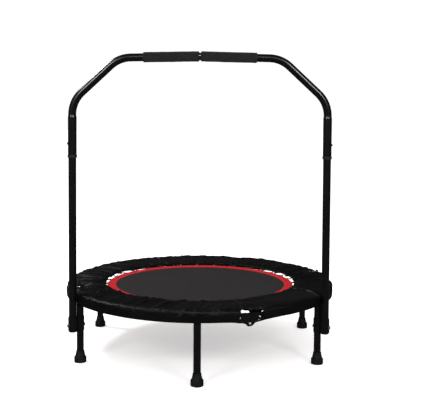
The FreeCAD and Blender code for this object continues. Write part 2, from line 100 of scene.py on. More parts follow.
class Nodes:
    """A material's node tree, with short calls for what its surface needs."""

    def __init__(self, name, base, roughness, **sockets):
        self.material = bpy.data.materials.new(name)
        self.material.use_nodes = True
        self.tree = self.material.node_tree
        self.shader = self.tree.nodes["Principled BSDF"]
        self.shader.inputs["Base Color"].default_value = (*base, 1.0)
        self.shader.inputs["Roughness"].default_value = roughness
        for socket, value in sockets.items():
            self.shader.inputs[socket.replace("_", " ")].default_value = value
        self.material.diffuse_color = (*base, 1.0)

    def node(self, kind, **settings):
        made = self.tree.nodes.new(kind)
        for key, value in settings.items():
            setattr(made, key, value)
        return made

    def link(self, source, target):
        self.tree.links.new(source, target)

    def coordinates(self, kind="Object"):
        return self.node("ShaderNodeTexCoord").outputs[kind]

    def math(self, operation, first, second=None):
        made = self.node("ShaderNodeMath", operation=operation)
        for slot, value in enumerate((first, second)):
            if value is None:
                continue
            if isinstance(value, (int, float)):
                made.inputs[slot].default_value = value
            else:
                self.link(value, made.inputs[slot])
        return made.outputs[0]

    def noise(self, vector, scale, detail=3.0, roughness=0.55):
        made = self.node("ShaderNodeTexNoise")
        made.inputs["Scale"].default_value = scale
        made.inputs["Detail"].default_value = detail
        made.inputs["Roughness"].default_value = roughness
        self.link(vector, made.inputs["Vector"])
        return made.outputs["Fac"]

    def ramp(self, value, low, high, low_colour, high_colour):
        made = self.node("ShaderNodeValToRGB")
        made.color_ramp.elements[0].position = low
        made.color_ramp.elements[1].position = high
        made.color_ramp.elements[0].color = (*low_colour, 1.0)
        made.color_ramp.elements[1].color = (*high_colour, 1.0)
        self.link(value, made.inputs["Fac"])
        return made.outputs["Color"]

    def scaled(self, value, low, high):
        made = self.node("ShaderNodeMapRange")
        made.inputs["To Min"].default_value = low
        made.inputs["To Max"].default_value = high
        self.link(value, made.inputs["Value"])
        return made.outputs["Result"]

    def bump(self, height, distance, strength=1.0):
        made = self.node("ShaderNodeBump")
        made.inputs["Distance"].default_value = distance
        made.inputs["Strength"].default_value = strength
        before = self.shader.inputs["Normal"].links
        if before:
            self.link(before[0].from_socket, made.inputs["Normal"])
        self.link(height, made.inputs["Height"])
        self.link(made.outputs["Normal"], self.shader.inputs["Normal"])

    def colour(self, output):
        self.link(output, self.shader.inputs["Base Color"])

    def rough(self, output):
        self.link(output, self.shader.inputs["Roughness"])

    def weave(self, vector, pitch):
        """Height of a plain weave whose threads are one pitch apart: over and under in turn."""
        parts = self.node("ShaderNodeSeparateXYZ")
        self.link(vector, parts.inputs[0])
        across = self.math("MULTIPLY", parts.outputs[0], math.pi / pitch)
        along = self.math("MULTIPLY", parts.outputs[1], math.pi / pitch)
        warp = self.math("ABSOLUTE", self.math("SINE", across))
        weft = self.math("ABSOLUTE", self.math("SINE", along))
        checks = self.node("ShaderNodeTexChecker")
        checks.inputs["Scale"].default_value = 1.0 / pitch
        checks.inputs["Color1"].default_value = (1, 1, 1, 1)
        checks.inputs["Color2"].default_value = (0, 0, 0, 1)
        self.link(vector, checks.inputs["Vector"])
        mix = self.node("ShaderNodeMix")
        self.link(checks.outputs["Fac"], mix.inputs[0])
        self.link(warp, mix.inputs[2])
        self.link(weft, mix.inputs[3])
        return mix.outputs[0]


def black_paint():
    """Gloss powder coat: faint orange peel, and a little dust in the roughness."""
    m = Nodes("black_paint", (0.0016, 0.0016, 0.0018), 0.22, Specular_IOR_Level=0.6)
    place = m.coordinates()
    peel = m.noise(place, 420.0, 2.0)
    m.bump(peel, 0.00018, 0.5)
    m.rough(m.scaled(m.noise(place, 26.0, 4.0), 0.16, 0.3))
    tone = m.noise(place, 9.0, 5.0)
    m.colour(m.ramp(tone, 0.35, 0.75, (0.0012, 0.0012, 0.0014), (0.0021, 0.0021, 0.0024)))
    return m.material


def zinc():
    """Bright zinc plate with fine drawn lines and blotches of passivation."""
    m = Nodes("zinc_plate", (0.72, 0.72, 0.7), 0.26, Metallic=1.0)
    place = m.coordinates()
    blotch = m.noise(place, 90.0, 5.0, 0.65)
    m.colour(m.ramp(blotch, 0.3, 0.75, (0.52, 0.53, 0.54), (0.84, 0.83, 0.79)))
    m.rough(m.scaled(m.noise(place, 240.0, 3.0), 0.16, 0.4))
    m.bump(m.noise(place, 900.0, 2.0), 0.0001, 0.4)
    return m.material


def rubber():
    """Moulded rubber: matt, with a fine grain and paler scuffs."""
    m = Nodes("foot_rubber", (0.005, 0.005, 0.005), 0.62, Specular_IOR_Level=0.2)
    place = m.coordinates()
    scuff = m.noise(place, 55.0, 6.0, 0.7)
    m.colour(m.ramp(scuff, 0.45, 0.85, (0.0038, 0.0038, 0.0039), (0.0092, 0.0090, 0.0086)))
    m.rough(m.scaled(scuff, 0.5, 0.8))
    m.bump(m.noise(place, 1400.0, 2.0), 0.0003, 0.5)
    return m.material


def plastic():
    m = Nodes("black_plastic", (0.008, 0.008, 0.0085), 0.42, Specular_IOR_Level=0.25)
    place = m.coordinates()
    m.rough(m.scaled(m.noise(place, 70.0, 4.0), 0.34, 0.52))
    m.bump(m.noise(place, 1800.0, 2.0), 0.00015, 0.5)
    return m.material


def foam():
    """Closed-cell foam: dull, with fine open pores and soft mottling."""
    m = Nodes("grip_foam", (0.0075, 0.0075, 0.0081), 0.86, Specular_IOR_Level=0.15, Sheen_Weight=0.03)
    place = m.coordinates()
    cells = m.node("ShaderNodeTexVoronoi", feature="F1")
    cells.inputs["Scale"].default_value = 950.0
    m.link(place, cells.inputs["Vector"])
    m.bump(cells.outputs["Distance"], 0.0006, 0.7)
    mottle = m.noise(place, 60.0, 5.0, 0.6)
    m.bump(mottle, 0.0012, 0.35)
    m.colour(m.ramp(mottle, 0.3, 0.8, (0.0058, 0.0058, 0.0063), (0.0108, 0.0108, 0.0115)))
    m.rough(m.scaled(mottle, 0.78, 0.95))
    return m.material


def mat_weave():
    """Woven polypropylene: charcoal, a tight plain weave with a faint satin, and painted shade between its
    threads.
    """
    m = Nodes("mat_weave", (0.025, 0.0222, 0.0228), 0.6, Specular_IOR_Level=0.1)
    place = m.coordinates("UV")
    height = m.weave(place, 0.0016)
    m.bump(height, 0.0004, 0.8)
    worn = m.noise(place, 7.0, 6.0, 0.62)
    # Painted shade: the colour is darker where the weave lies low between the threads, and it also varies
    # with a random tone.
    thread = m.math("MULTIPLY", height, m.scaled(worn, 0.75, 1.0))
    m.colour(m.ramp(thread, 0.05, 0.95, (0.015, 0.0129, 0.0134), (0.031, 0.0273, 0.028)))
    m.rough(m.scaled(worn, 0.48, 0.7))
    return m.material


def red_webbing():
    """Woven polyester tape with close ribs across it, and painted shade between the ribs."""
    m = Nodes("red_webbing", (0.42, 0.0055, 0.010), 0.62, Specular_IOR_Level=0.1)
    place = m.coordinates("UV")
    height = m.weave(place, 0.0013)
    m.bump(height, 0.0004, 0.8)
    tone = m.noise(place, 22.0, 5.0, 0.6)
    # Painted shade: the colour is darker where the weave lies low between the ribs, and it also varies with
    # a random tone.
    shade = m.math("MULTIPLY", m.scaled(height, 0.62, 1.0), m.scaled(tone, 0.7, 1.0))
    m.colour(m.ramp(shade, 0.4, 0.95, (0.23, 0.003, 0.006), (0.54, 0.007, 0.014)))
    m.rough(m.scaled(tone, 0.52, 0.74))
    return m.material


def cover_cloth():
    """Coated oxford cloth: black, a fine weave under a slightly shiny coat."""
    m = Nodes("cover_cloth", (0.0015, 0.0014, 0.0021), 0.36, Specular_IOR_Level=0.2)
    place = m.coordinates("UV")
    height = m.weave(place, 0.0009)
    m.bump(height, 0.0002, 0.6)
    m.bump(m.noise(place, 38.0, 5.0, 0.6), 0.0016, 0.5)
    worn = m.noise(place, 11.0, 6.0, 0.65)
    m.colour(m.ramp(worn, 0.3, 0.8, (0.0011, 0.0010, 0.0016), (0.0019, 0.0018, 0.0026)))
    m.rough(m.scaled(worn, 0.3, 0.44))
    return m.material


def thread(name, colour):
    m = Nodes(name, colour, 0.6, Sheen_Weight=0.2)
    m.bump(m.noise(m.coordinates(), 2600.0, 2.0), 0.0002, 0.6)
    m.rough(m.scaled(m.noise(m.coordinates(), 300.0, 3.0), 0.5, 0.75))
    return m.material


def floor_paint():
    m = Nodes("studio_floor", (0.88, 0.88, 0.88), 0.7, Specular_IOR_Level=0.2, Emission_Strength=0.42)
    m.rough(m.scaled(m.noise(m.coordinates(), 3.0, 4.0), 0.62, 0.78))
    return m.material


PAINT = black_paint()
ZINC = zinc()
RUBBER = rubber()
PLASTIC = plastic()
FOAM = foam()
MAT_CLOTH = mat_weave()
WEBBING = red_webbing()
COVER = cover_cloth()
RED_THREAD = thread("red_thread", (0.5, 0.006, 0.01))

FINISHES = {
    "black_tube": PAINT, "zinc_steel": ZINC, "mat_weave": MAT_CLOTH, "red_webbing": WEBBING,
    "pad_cover": COVER, "foam_grip": FOAM, "black_rubber": RUBBER, "black_plastic": PLASTIC,
}
for part in frame["record"]["subparts"]:
    mesh = frame["nodes"][part["node"]].data
    mesh.materials.clear()
    mesh.materials.append(FINISHES[part["material_slot"]])


# ---- mesh helpers ----

def piece(name, verts, faces, material, body=None, uvs=None, smooth=True):
    """A mesh object from plain lists. uvs holds one (u, v) per vertex, in metres of cloth."""
    mesh = bpy.data.meshes.new(name)
    mesh.from_pydata([tuple(v) for v in verts], [], faces)
    mesh.update()
    if uvs is not None:
        layer = mesh.uv_layers.new(name="UVMap")
        for loop in mesh.loops:
            layer.data[loop.index].uv = uvs[loop.vertex_index]
    if smooth:
        mesh.polygons.foreach_set("use_smooth", [True] * len(mesh.polygons))
    mesh.materials.append(material)
    made = bpy.data.objects.new(name, mesh)
    bpy.context.scene.collection.objects.link(made)
    if body:
        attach(made, body)
    return made


def wire_mesh(path, radius, sides, closed=False):
    """A round wire along a path of points: (verts, faces), with capped ends when it is open."""
    count = len(path)
    verts, faces = [], []
    normal = None
    for n, point in enumerate(path):
        after = path[(n + 1) % count] if closed or n + 1 < count else point
        before = path[n - 1] if closed or n > 0 else point
        way = (after - before).normalized()
        if normal is None:
            normal = way.orthogonal().normalized()
        normal = (normal - way * normal.dot(way)).normalized()
        side = way.cross(normal)
        for k in range(sides):
            turn = 2 * math.pi * k / sides
            verts.append(point + normal * (radius * math.cos(turn)) + side * (radius * math.sin(turn)))
    rings = count if closed else count - 1
    for n in range(rings):
        for k in range(sides):
            a, b = n * sides, ((n + 1) % count) * sides
            faces.append((a + k, a + (k + 1) % sides, b + (k + 1) % sides, b + k))
    if not closed:
        faces.append(tuple(reversed(range(sides))))
        faces.append(tuple((count - 1) * sides + k for k in range(sides)))
    return verts, faces


def gather(parts):
    """Joins several (verts, faces) into one."""
    verts, faces = [], []
    for some_verts, some_faces in parts:
        start = len(verts)
        verts += some_verts
        faces += [tuple(start + k for k in face) for face in some_faces]
    return verts, faces


def closed_outward(made):
    """Turns every face of a closed mesh outward."""
    work = bmesh.new()
    work.from_mesh(made.data)
    bmesh.ops.recalc_face_normals(work, faces=work.faces)
    work.to_mesh(made.data)
    work.free()


# ---- places taken from the frame ----

MAT_LOW, MAT_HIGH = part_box("mat_front")
MAT_Z = (MAT_LOW.z + MAT_HIGH.z) / 2
MAT_THICK = MAT_HIGH.z - MAT_LOW.z
EDGE_LOW, EDGE_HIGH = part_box("mat_edge_rear")


def reach_of(*nodes):
    """Furthest distance of these nodes from the ring's axis."""
    return max(math.hypot(v.co.x, v.co.y) for n in nodes for v in frame["nodes"][n].data.vertices)


def nearest_of(*nodes):
    return min(math.hypot(v.co.x, v.co.y) for n in nodes for v in frame["nodes"][n].data.vertices)


MAT_R = reach_of("mat_front")
EDGE_OUTER_R = reach_of("mat_edge_front")
PAD_OUTER_R = reach_of("pad_front")
ARCS = ("frame_arc_front_left", "frame_arc_front_right")
TUBE_R = (reach_of(*ARCS) - nearest_of(*ARCS)) / 2
RING_R = (reach_of(*ARCS) + nearest_of(*ARCS)) / 2
EDGE_INNER_R = round(nearest_of("mat_edge_front"), 4)
PAD_INNER_R = round(nearest_of("pad_front"), 4)
SPRINGS = 32
BODY_OF_SIDE = {"front": "root", "rear": "rear_half"}


def spring_angles(side):
    step = 2 * math.pi / SPRINGS
    first = FOLD_ANGLE + step / 2 - (math.pi if side == "front" else 0.0)
    return [first + step * n for n in range(SPRINGS // 2)]


def across_fold(made):
    """Bakes a cloth piece's placement into its mesh."""
    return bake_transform(made)


# ---- mat, its red edge, rings and springs ----

MAT_RINGS = 46
MAT_SPOKES = 192
MAT_SAG = 0.0016
MAT_RIPPLE = 0.0005


def mat_sheet():
    """The jumping mat: one thin disc, drawn tight, that lies a touch lower in the middle."""
    rings, spokes = MAT_RINGS, MAT_SPOKES
    verts, uvs = [], []
    for layer in (1, -1):
        for n in range(1, rings + 1):
            radius = MAT_R * n / rings
            for k in range(spokes):
                point = polar(radius, 2 * math.pi * k / spokes, 0)
                sag = MAT_SAG * (1 - (radius / MAT_R) ** 2)
                ripple = MAT_RIPPLE * noise.noise(point * 9.0) * (1 - radius / MAT_R)
                point.z = MAT_Z + layer * MAT_THICK / 2 - sag + ripple
                verts.append(point)
                uvs.append((point.x, point.y))
        verts.append(Vector((0, 0, MAT_Z + layer * MAT_THICK / 2 - MAT_SAG)))
        uvs.append((0.0, 0.0))
    per_layer = rings * spokes + 1
    faces = []
    for layer in (0, 1):
        base = layer * per_layer
        for k in range(spokes):
            after = (k + 1) % spokes
            cap = (base + per_layer - 1, base + k, base + after)
            faces.append(cap if layer == 0 else cap[::-1])
            for n in range(rings - 1):
                low, high = base + n * spokes, base + (n + 1) * spokes
                quad = (low + k, high + k, high + after, low + after)
                faces.append(quad if layer == 0 else quad[::-1])
    rim = (rings - 1) * spokes
    for k in range(spokes):
        after = (k + 1) % spokes
        faces.append((rim + k, per_layer + rim + k, per_layer + rim + after, rim + after))
    made = piece("mat_sheet", verts, faces, MAT_CLOTH, uvs=uvs)
    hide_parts("mat_front", "mat_rear")
    return across_fold(made)


EDGE_SPOKES = 384
EDGE_STEPS = 14                         # across one face of the webbing
EDGE_PUCKER = 0.0009
EDGE_THIN = 0.0002                      # half thickness left at its very edge


def edge_height(radius):
    """Half thickness of the folded webbing at a radius: rounded off at both of its edges."""
    middle = (EDGE_INNER_R + EDGE_OUTER_R) / 2
    half_width = (EDGE_OUTER_R - EDGE_INNER_R) / 2
    share = min(1.0, abs(radius - middle) / half_width)
    return (EDGE_HIGH.z - EDGE_LOW.z) / 2 * (1 - share ** 8) ** 0.5


def mat_edge():
    """The red webbing, folded over the mat's edge, with slight puckers at its stitching."""
    spokes, steps = EDGE_SPOKES, EDGE_STEPS
    verts, uvs, faces = [], [], []
    for k in range(spokes):
        angle = 2 * math.pi * k / spokes
        for n in range(2 * steps):
            share = n / steps if n < steps else 2 - n / steps
            radius = EDGE_INNER_R + (EDGE_OUTER_R - EDGE_INNER_R) * (0.5 - 0.5 * math.cos(math.pi * share))
            point = polar(radius, angle, 0)
            wave = EDGE_PUCKER * noise.noise(Vector((math.cos(angle), math.sin(angle), radius * 20)) * 14.0)
            layer = 1 if n < steps else -1
            point.z = MAT_Z + layer * max(edge_height(radius), EDGE_THIN) + wave
            verts.append(point)
            uvs.append((angle * EDGE_OUTER_R, radius + (0 if layer > 0 else 0.1)))
    loop = 2 * steps
    for k in range(spokes):
        for n in range(loop):
            a, b = k * loop, ((k + 1) % spokes) * loop
            faces.append((a + n, a + (n + 1) % loop, b + (n + 1) % loop, b + n))
    made = piece("mat_edge_webbing", verts, faces, WEBBING, uvs=uvs)
    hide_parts("mat_edge_front", "mat_edge_rear")
    return across_fold(made)


THREAD_R = 0.00042
STITCH_LENGTH = 0.0048
STITCH_PITCH = 1.25                     # from one stitch to the next, in stitch lengths
STITCH_RISE = 0.0004
STITCH_ROWS = (EDGE_INNER_R + 0.0035, EDGE_OUTER_R - 0.004)


def stitch(start, end, height):
    """One stitch: a short flattened bead of thread that dips at both ends."""
    middle = (start + end) / 2 + Vector((0, 0, height))
    path = [start, start.lerp(middle, 0.6) + Vector((0, 0, height * 0.3)), middle,
            end.lerp(middle, 0.6) + Vector((0, 0, height * 0.3)), end]
    return wire_mesh(path, THREAD_R, 5)


def edge_stitches():
    """Two rows of stitching round the webbing's top face."""
    parts = []
    for radius in STITCH_ROWS:
        count = int(2 * math.pi * radius / (STITCH_LENGTH * STITCH_PITCH))
        top = MAT_Z + edge_height(radius) + 0.0001
        for n in range(count):
            angle = 2 * math.pi * n / count
            turn = STITCH_LENGTH / radius
            parts.append(stitch(polar(radius, angle, top), polar(radius, angle + turn, top), STITCH_RISE))
    verts, faces = gather(parts)
    made = piece("mat_edge_stitches", verts, faces, RED_THREAD)
    return across_fold(made)


V_BASE_R = EDGE_OUTER_R + 0.0019
V_TIP_R = V_BASE_R + 0.012
V_WIRE_R = 0.0014
V_HALF_WIDTH = 0.009
V_BEND = 0.0032


def rounded_corner(before, corner, after, radius, steps=5):
    """Points of a smooth bend in place of a corner."""
    first = corner + (before - corner).normalized() * radius
    last = corner + (after - corner).normalized() * radius
    points = []
    for n in range(steps + 1):
        t = n / steps
        points.append(first * (1 - t) ** 2 + corner * (2 * t * (1 - t)) + last * t ** 2)
    return points


def v_ring(angle):
    outward = polar(1, angle, 0)
    around = polar(1, angle + math.pi / 2, 0)
    lift = Vector((0, 0, MAT_Z))
    corners = [outward * V_BASE_R + around * V_HALF_WIDTH + lift,
               outward * V_BASE_R - around * V_HALF_WIDTH + lift, outward * V_TIP_R + lift]
    path = []
    for n in range(3):
        path += rounded_corner(corners[n - 1], corners[n], corners[(n + 1) % 3], V_BEND)
    return wire_mesh(path, V_WIRE_R, 8, closed=True)


TAB_START_R = EDGE_OUTER_R - 0.007
TAB_LOOP_R = V_WIRE_R + 0.0012
TAB_CLOSED = 0.72                       # half height where its two ends meet, in loop radii
TAB_HALF_WIDTH = 0.0062
TAPE_THICK = 0.0007


def webbing_tab(angle):
    """The short loop of tape that holds a ring's long side to the mat's edge."""
    outward = polar(1, angle, 0)
    around = polar(1, angle + math.pi / 2, 0)
    loop_r, half_width = TAB_LOOP_R, TAB_HALF_WIDTH
    outline = [(TAB_START_R, loop_r * TAB_CLOSED)]
    for n in range(9):
        turn = math.pi / 2 - math.pi * n / 8
        outline.append((V_BASE_R + loop_r * math.cos(turn), loop_r * math.sin(turn)))
    outline.append((TAB_START_R, -loop_r * TAB_CLOSED))
    verts, faces = [], []
    for r, z in outline:
        inner = Vector((V_BASE_R - r, 0, -z))
        scale = TAPE_THICK / max(inner.length, 0.002)
        for shrink in (0.0, scale):
            rr, zz = r + inner.x * shrink, z + inner.z * shrink
            for side in (-half_width, half_width):
                verts.append(outward * rr + around * side + Vector((0, 0, MAT_Z + zz)))
    for n in range(len(outline) - 1):
        a, b = 4 * n, 4 * (n + 1)
        faces += [(a, a + 1, b + 1, b), (a + 2, b + 2, b + 3, a + 3), (a, b, b + 2, a + 2),
                  (a + 1, a + 3, b + 3, b + 1)]
    last = 4 * (len(outline) - 1)
    faces += [(0, 2, 3, 1), (last, last + 1, last + 3, last + 2)]
    return verts, faces


SPRING_AXIS_START = 0.3785
SPRING_COIL = (0.388, 0.470)
SPRING_DROP = 0.005


def spring_axis(radius, angle):
    slope = SPRING_DROP / (SPRING_COIL[1] - SPRING_AXIS_START)
    return polar(radius, angle, MAT_Z - (radius - SPRING_AXIS_START) * slope)


COIL_R = 0.0052                         # to the middle of its wire
COIL_WIRE_R = 0.00125
COIL_TURNS = 25
COIL_STEPS = 14                         # in one turn
HOOK_PLAY = 0.0003
HOOK_STEPS = 12
HOOK_OPEN = 30                          # degrees
HOOK_SWEEP = 300


def coil_spring(angle):
    """A close-wound extension spring, hooked round its ring's point and into the frame tube."""
    start = spring_axis(SPRING_COIL[0], angle)
    end = spring_axis(SPRING_COIL[1], angle)
    along = (end - start).normalized()
    side = polar(1, angle + math.pi / 2, 0)
    up = along.cross(side)
    up = up if up.z > 0 else -up
    tip = spring_axis(V_TIP_R, angle)
    hook_r = V_WIRE_R + COIL_WIRE_R + HOOK_PLAY
    path = []
    for n in range(HOOK_STEPS + 1):
        turn = math.radians(HOOK_SWEEP - HOOK_SWEEP * n / HOOK_STEPS + HOOK_OPEN)
        path.append(tip + along * (hook_r * math.cos(turn)) + up * (hook_r * math.sin(turn)))
    path.append(start - along * 0.0035)
    total = COIL_TURNS * COIL_STEPS
    for n in range(total + 1):
        turn = 2 * math.pi * n / COIL_STEPS
        share = n / total
        grow = min(1.0, n / (COIL_STEPS * 0.5), (total - n) / (COIL_STEPS * 0.5))
        radius = COIL_R * max(grow, 0.05)
        centre = start.lerp(end, share)
        path.append(centre + side * (radius * math.cos(turn)) + up * (radius * math.sin(turn)))
    hole = spring_axis(RING_R - TUBE_R + 0.0035, angle)
    path += [end + along * 0.003, spring_axis(RING_R - TUBE_R - 0.004, angle), hole,
             hole + along * 0.002 - up * 0.0012, hole + along * 0.0028 - up * 0.0045]
    return wire_mesh(path, COIL_WIRE_R, 6)


def rings_tabs_and_springs():
    made = []
    for side, body in BODY_OF_SIDE.items():
        angles = spring_angles(side)
        verts, faces = gather([v_ring(a) for a in angles])
        rings = piece("v_ring_wires_" + side, verts, faces, ZINC, body)
        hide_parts("v_rings_" + side)
        verts, faces = gather([coil_spring(a) for a in angles])
        coils = piece("coil_springs_" + side, verts, faces, ZINC, body)
        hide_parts("springs_" + side)
        verts, faces = gather([webbing_tab(a) for a in angles])
        uvs = [(v.x, v.y) for v in verts]
        made.append(piece("webbing_tabs_" + side, verts, faces, WEBBING, body, uvs))
    return made


# ---- padded cover ----

SKIRT_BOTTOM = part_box("pad_front")[0].z
UNDER_Z = MAT_Z + 0.0066                # just above the springs
HINGES = {"front": -90.0, "right": 0.0, "rear": 90.0, "left": 180.0}
COVER_SPOKES = 1080
COVER_STEPS = 46                        # from the lip to the hem
MIDDLE_R = 0.45                         # where the spacing of folds is measured
FRONT_SLOT_START_R = 0.4840             # of the opening at the front hinge
SMOOTH_PANEL = (-66.0, -26.0)           # degrees, not gathered
FRONT_FOLDS = (-135.0, -72.0)           # degrees, where folds lean most


def turned_from(angle, other):
    """Signed turn from one angle to another, in degrees, between -180 and 180."""
    return (angle - other + 180.0) % 360.0 - 180.0


def smooth_step(x):
    x = np.clip(x, 0.0, 1.0)
    return x * x * (3 - 2 * x)


def bump_at(x, width):
    return np.exp(-(x / width) ** 2)


# Smooth skin of the cover, from the lip under its inner edge, out over the top and down the skirt.
# Each row has a radius, a height, the padding's thickness below it, and how far its folds may rise.
COVER_PROFILE = (
    (0.3765, UNDER_Z + 0.0002, 0.0003, 0.0), (0.3712, 0.2508, 0.0010, 0.2), (0.3700, 0.2530, 0.0018, 0.5),
    (0.3712, 0.2548, 0.0030, 0.8), (0.3745, 0.2558, 0.0045, 1.0), (0.3900, 0.2564, 0.0066, 1.0),
    (0.4200, 0.2570, 0.0072, 1.0), (0.4500, 0.2572, 0.0074, 1.0), (0.4780, 0.2568, 0.0070, 1.0),
    (0.4950, 0.2564, 0.0070, 1.0), (0.5060, 0.2558, 0.0060, 0.9), (0.5130, 0.2538, 0.0045, 0.8),
    (0.5168, 0.2495, 0.0034, 0.7), (0.5180, 0.2440, 0.0030, 0.6), (0.5182, 0.2360, 0.0028, 0.55),
    (0.5178, 0.2270, 0.0028, 0.5), (0.5172, 0.2205, 0.0028, 0.4), (0.5170, 0.2180, 0.0014, 0.3),
)


def fine_profile(steps):
    """The cover's profile, drawn out evenly along its own length."""
    rows = np.array(COVER_PROFILE)
    length = np.concatenate([[0.0], np.cumsum(np.hypot(np.diff(rows[:, 0]), np.diff(rows[:, 1])))])
    even = np.linspace(0.0, length[-1], steps)
    return np.stack([np.interp(even, length, rows[:, n]) for n in range(4)], axis=1)


def noise_round(angles, scale, place):
    """Smooth noise of an angle in degrees, the same after a full turn."""
    values = []
    for angle in np.radians(angles):
        values.append(noise.noise(Vector((math.cos(angle) * scale, math.sin(angle) * scale, place))))
    return np.array(values)


FOLD_PIVOT = 0.15                       # share of the width at which a fold keeps its place
PLEAT_MEAN = 0.0032                     # mean height of the pleats, taken off again
CREASE_HALF_WIDTH = 0.0030
STEP_GROOVE = 0.7                       # degrees, from the step line to the groove beside it
GROOVE_HALF_WIDTH = 0.55                # degrees
GROOVE_DEPTH = 0.0026


def pleats(angles, share):
    """Height of the gathered folds: each is a sharp ridge that leaves the inner edge at its own slant."""
    picks = random.Random(4)
    height = np.zeros((len(angles), len(share)))
    place = -180.0
    while place < 180.0:
        in_panel = SMOOTH_PANEL[0] < place < SMOOTH_PANEL[1]
        at_front = FRONT_FOLDS[0] < place <= FRONT_FOLDS[1]
        slant = picks.gauss(-5.5, 2.2) if at_front else picks.gauss(3.0 if place > 40.0 else 0.0, 2.6)
        tall = picks.uniform(0.0022, 0.0056) * (0.12 if in_panel else 1.0)
        width = picks.uniform(0.0026, 0.0070)
        start = picks.uniform(-0.15, 0.25)
        reach = picks.uniform(0.45, 1.25) if at_front else picks.uniform(0.6, 1.6)
        lean = picks.uniform(-0.35, 0.35)
        centre = place + slant * (share - FOLD_PIVOT)
        across = turned_from(angles[:, None], centre[None, :]) * math.radians(1.0) * MIDDLE_R
        ridge = np.exp(-np.abs(across) / (width * (1 + lean * np.sign(across))))
        along = smooth_step((share - start) / 0.2 + 1) * (1 - smooth_step((share - reach) / 0.35))
        height += tall * ridge * along[None, :]
        place += picks.uniform(1.6, 4.4)
    return height - PLEAT_MEAN


def from_step_line(angles, share):
    """Turn in degrees from the line where the smooth panel ends in a step."""
    return turned_from(angles[:, None], (-23.4 - 11.7 * (share - 0.135))[None, :])


def creases(angles, share):
    """Thin sharp lines in the skin, pinched up along the folds."""
    picks = random.Random(9)
    height = np.zeros((len(angles), len(share)))
    place = -179.0
    while place < 179.0:
        in_panel = SMOOTH_PANEL[0] < place < SMOOTH_PANEL[1]
        at_front = FRONT_FOLDS[0] < place <= FRONT_FOLDS[1]
        slant = picks.gauss(-6.5, 2.5) if at_front else picks.gauss(3.5 if place > 40.0 else 0.0, 3.0)
        tall = picks.uniform(0.0008, 0.0024) * (0.0 if in_panel else 1.0)
        start = picks.uniform(-0.1, 0.3)
        reach = start + picks.uniform(0.35, 0.8)
        centre = place + slant * (share - FOLD_PIVOT) + 0.5 * math.sin(place) * (share - 0.5) ** 2
        across = np.abs(turned_from(angles[:, None], centre[None, :])) * math.radians(1.0) * MIDDLE_R
        ridge = np.clip(1 - across / CREASE_HALF_WIDTH, 0.0, 1.0)
        along = smooth_step((share - start) / 0.1 + 1) * (1 - smooth_step((share - reach) / 0.2))
        height += tall * ridge * along[None, :]
        place += picks.uniform(1.2, 4.6)
    from_step = from_step_line(angles, share) - STEP_GROOVE
    return height - GROOVE_DEPTH * np.clip(1 - np.abs(from_step) / GROOVE_HALF_WIDTH, 0.0, 1.0)


def seams(angles, share):
    """The dark step at the smooth panel's edge, and the raised seam on the other side."""
    from_step = from_step_line(angles, share)
    panel = smooth_step((turned_from(angles, -64.0)) / 6.0)[:, None] * smooth_step(-from_step / 1.2)
    height = 0.0030 * panel - 0.0034 * bump_at(from_step - STEP_GROOVE, 0.75)
    raised_line = -145.7 + 12.8 * (share - 0.34)
    return height + 0.0026 * bump_at(turned_from(angles[:, None], raised_line[None, :]), 0.45)


def along_ring(angles, hinge):
    """Distance along the ring from a hinge's pin, in metres."""
    return turned_from(angles, math.degrees(FOLD_ANGLE) + HINGES[hinge]) * math.radians(1.0) * RING_R


# How far the cover departs from its smooth profile, in metres.
FILLING_WAVE = 0.0016                   # broad unevenness of the filling
EDGE_SLOW_WAVE = 0.0034                 # of the inner edge
EDGE_FAST_WAVE = 0.0046
EDGE_SHIFT = 0.0008
EDGE_DRAWN_IN = 0.0034                  # of the inner edge, at the two sides of the front
FAR_RIM_LIFT = 0.0055
HEM_LOW = 0.0035                        # of the skirt's lower edge, left of the front hinge
HEM_HIGH = 0.005                        # below the smooth panel
HEM_SAG = 0.008                         # at the front hinge
SIDE_BULGE = 0.0034                     # of the skirt, over the side hinges
SIDE_PUFF = 0.0045                      # of the top, over the side hinges
FRONT_LIP = 0.0040
FRONT_BULGE = 0.0036                    # of the skirt, beside its opening at the front hinge
ROLLED_EDGE = (0.0040, 0.0085)          # thickness of the opening's edge, and what is added past the pin
SKIRT_TOP_Z = 0.2495
SKIRT_DEPTH = 0.0295


